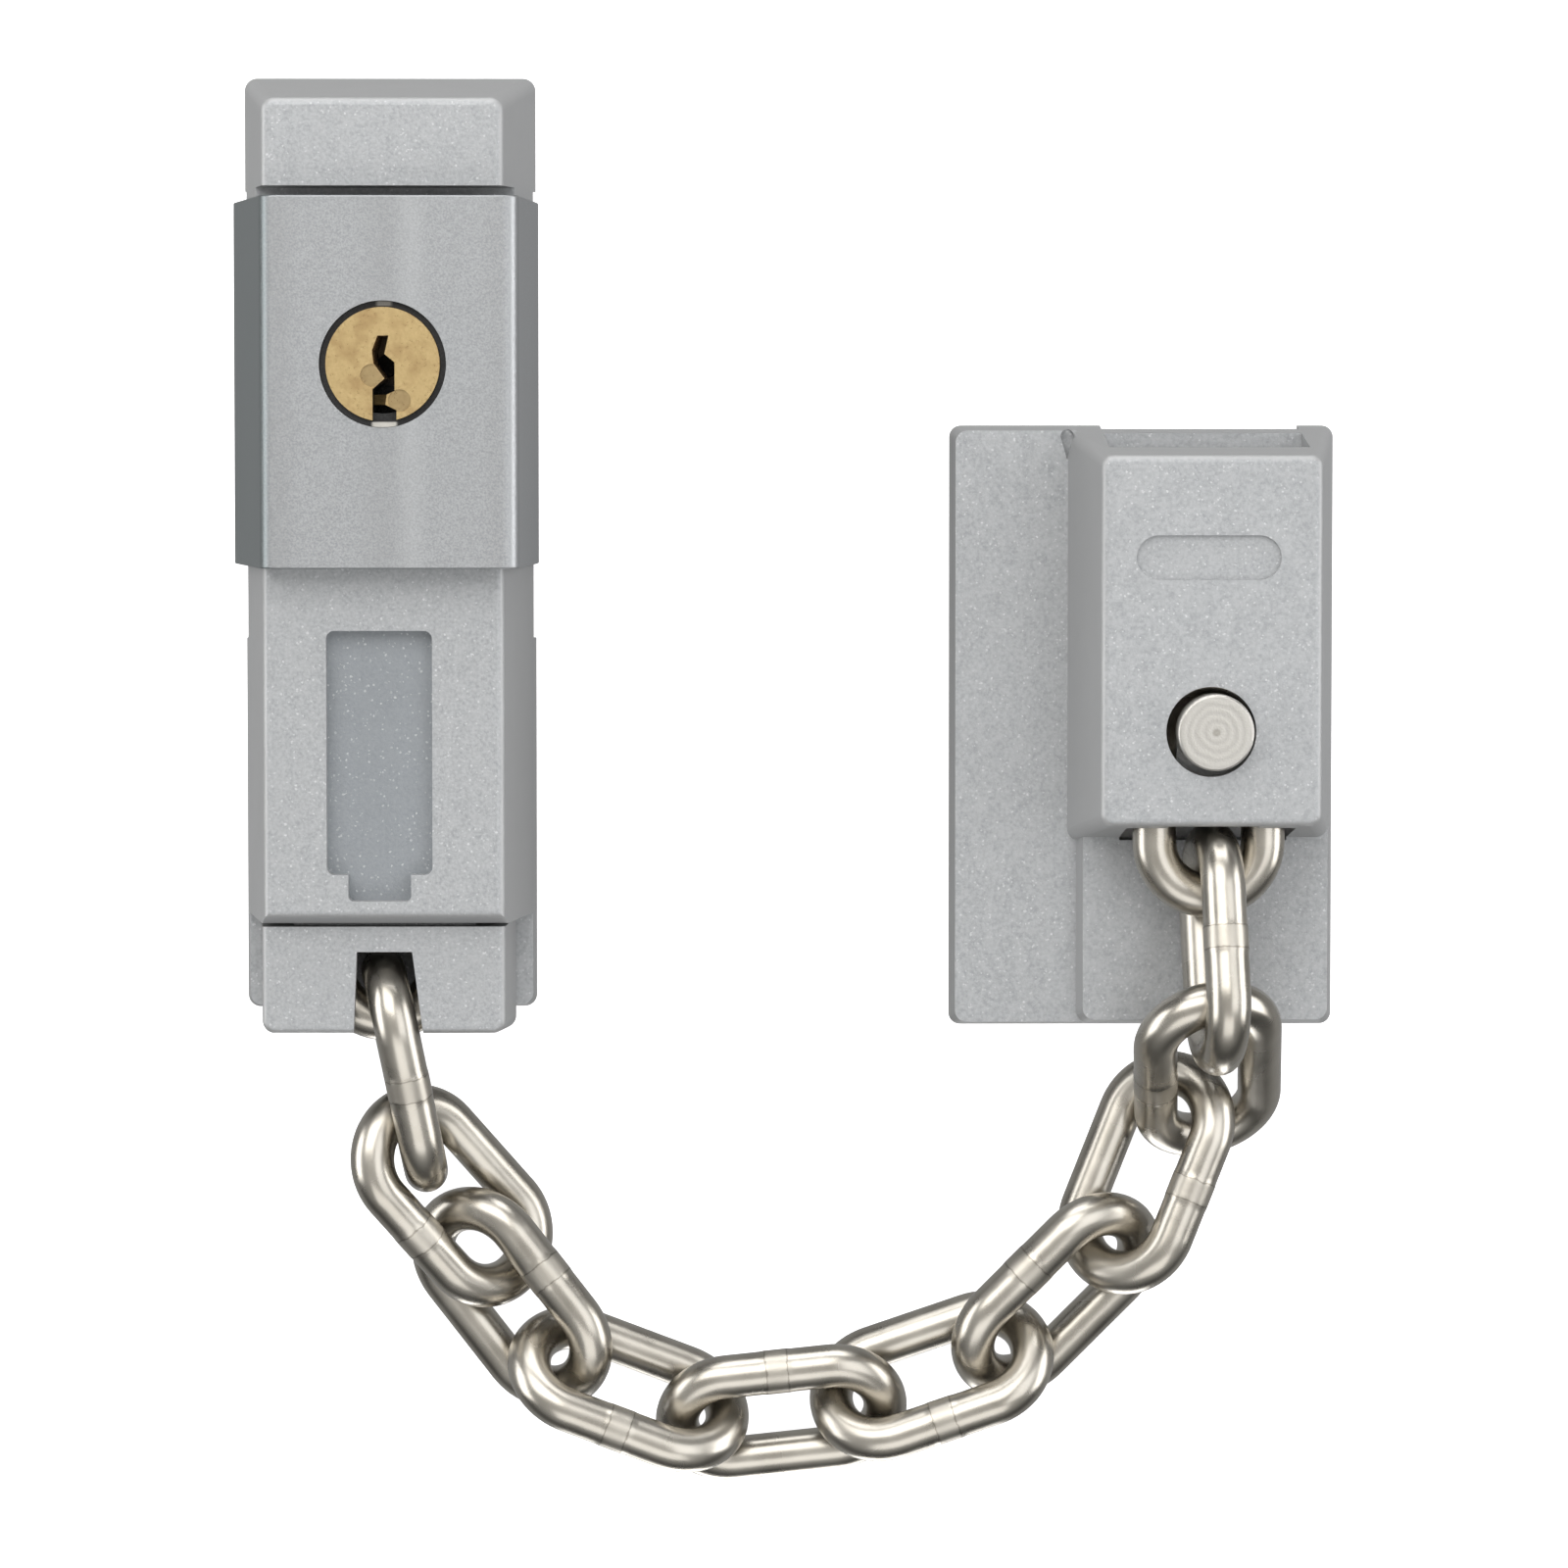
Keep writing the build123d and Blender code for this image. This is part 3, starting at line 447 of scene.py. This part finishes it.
finishes = {
    "silver_coat": silver_coat(),
    "satin_coat": satin_coat(),
    "nickel_chain": nickel(),
    "zinc_steel": metal("zinc_steel", (0.50, 0.50, 0.50), (0.62, 0.62, 0.62), 0.34),
    "zinc_plate": metal("zinc_plate", (0.52, 0.53, 0.54), (0.64, 0.65, 0.66), 0.38, 1800.0),
    # the wafers' brass is darkened with painted shade, as they sit deep inside the lock
    "brass": metal("wafer_brass_shaded", (0.10, 0.07, 0.03), (0.16, 0.11, 0.05), 0.45),
    "black_ring": barrel_black(),
    "turned_steel": turned_steel(),
}


def dress(node, material):
    """Give a CAD node its one material."""
    mesh = frame["nodes"][node].data
    mesh.materials.clear()
    mesh.materials.append(material)


for entry in frame["record"]["subparts"]:
    dress(entry["node"], finishes[entry["material_slot"]])
dress("lock_plug", plug_brass())
dress("cam_screw", metal("oiled_steel", (0.03, 0.03, 0.03), (0.06, 0.055, 0.05), 0.5))


# ---- chain links: welded wire with a low collar on the leg that faces the room ----
def link_axes(node):
    """A link's centre and its long, cross and thin directions, from its own surface."""
    mesh = frame["nodes"][node].data
    mesh.calc_loop_triangles()
    corners = np.array([vertex.co[:] for vertex in mesh.vertices])
    faces = np.array([triangle.vertices[:] for triangle in mesh.loop_triangles])
    a, b, c = corners[faces[:, 0]], corners[faces[:, 1]], corners[faces[:, 2]]
    area = np.linalg.norm(np.cross(b - a, c - a), axis=1)
    middles = (a + b + c) / 3
    centre = (middles * area[:, None]).sum(0) / area.sum()
    spread = (middles - centre).T @ ((middles - centre) * area[:, None])
    directions = np.linalg.eigh(spread)[1].T
    long, across = directions[2], directions[1]
    if long[2] > 0:
        long = -long
    if across[1] > 0:
        across = -across
    return centre, long, across, np.cross(long, across)


def wire_radius(seam):
    """The wire's radius for a seam value; the weld carries a low collar."""
    past_collar = max(0.0, seam - SEAM_HALF) / COLLAR_FADE
    return WIRE_RADIUS - COLLAR_SINK - (WIRE_SINK - COLLAR_SINK) * min(1.0, past_collar)


def link_path():
    """Stations along the wire: place and outward direction in the link's plane, and seam value.

    The seam value is the distance from the weld on the weld's own leg, and a leg's length elsewhere.
    """
    leg = LEG_LENGTH / 2
    path = []
    for side in (1, -1):
        for i in range(LEG_STEPS):
            s = -leg + LEG_LENGTH * i / LEG_STEPS
            path.append((side * s, side * CROWN_RADIUS, 0.0, side, abs(s) if side > 0 else LEG_LENGTH))
        for i in range(CROWN_STEPS):
            angle = side * math.pi / 2 - math.pi * i / CROWN_STEPS
            out_u, out_v = math.cos(angle), math.sin(angle)
            u, v = side * leg + CROWN_RADIUS * out_u, CROWN_RADIUS * out_v
            path.append((u, v, out_u, out_v, LEG_LENGTH))
    return path


def build_link(node, name):
    """One link as a closed swept tube that keeps its seam values as an attribute."""
    centre, long, across, thin = link_axes(node)
    path = link_path()
    vertices, seams, faces = [], [], []
    for u, v, out_u, out_v, seam in path:
        place = centre + u * long + v * across
        outward = out_u * long + out_v * across
        radius = wire_radius(seam)
        for j in range(AROUND):
            angle = math.tau * j / AROUND
            vertices.append(tuple(place + radius * (math.cos(angle) * outward + math.sin(angle) * thin)))
            seams.append(seam)
    for i in range(len(path)):
        here, after = i * AROUND, (i + 1) % len(path) * AROUND
        for j in range(AROUND):
            k = (j + 1) % AROUND
            faces.append((here + j, here + k, after + k, after + j))
    mesh = bpy.data.meshes.new(name)
    mesh.from_pydata(vertices, [], faces)
    mesh.validate()
    mesh.attributes.new("seam", "FLOAT", "POINT").data.foreach_set("value", seams)
    mesh.polygons.foreach_set("use_smooth", [True] * len(mesh.polygons))
    mesh.materials.append(finishes["nickel_chain"])
    obj = bpy.data.objects.new(name, mesh)
    bpy.context.collection.objects.link(obj)
    return obj


body_of_node = {n: body for body, nodes in frame["record"]["behaviour"]["bodies"].items() for n in nodes}
for number in range(LINK_COUNT):
    node = f"chain_link_{number:02d}"
    obj = build_link(node, f"link_{number:02d}")
    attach(obj, body_of_node[node])
    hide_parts(node)


# ---- stage ----
def build_stage():
    """A white board behind the object, clear from behind, which the object neither mirrors nor is lit by."""
    mesh = bpy.data.meshes.new("board")
    half = BOARD_HALF
    corners = [(-half, 0, -half), (half, 0, -half), (half, 0, half), (-half, 0, half)]
    mesh.from_pydata(corners, [], [(0, 1, 2, 3)])
    board = bpy.data.objects.new("board", mesh)
    bpy.context.collection.objects.link(board)
    board.location = (OBJECT_MIDDLE[0], BOARD_BACK, OBJECT_MIDDLE[2])
    r = Recipe("board")
    r.shader.inputs["Base Color"].default_value = (0.9, 0.9, 0.9, 1)
    r.shader.inputs["Roughness"].default_value = 0.9
    r.shader.inputs["Emission Color"].default_value = (1, 1, 1, 1)
    r.shader.inputs["Emission Strength"].default_value = 0.9
    clear = r.node("ShaderNodeBsdfTransparent")
    both = r.node("ShaderNodeMixShader")
    r.link(r.node("ShaderNodeNewGeometry").outputs["Backfacing"], both.inputs[0])
    r.link(r.shader.outputs[0], both.inputs[1])
    r.link(clear.outputs[0], both.inputs[2])
    r.link(both.outputs[0], r.tree.nodes["Material Output"].inputs["Surface"])
    mesh.materials.append(r.material)
    board.visible_glossy = False
    board.visible_diffuse = False


build_stage()
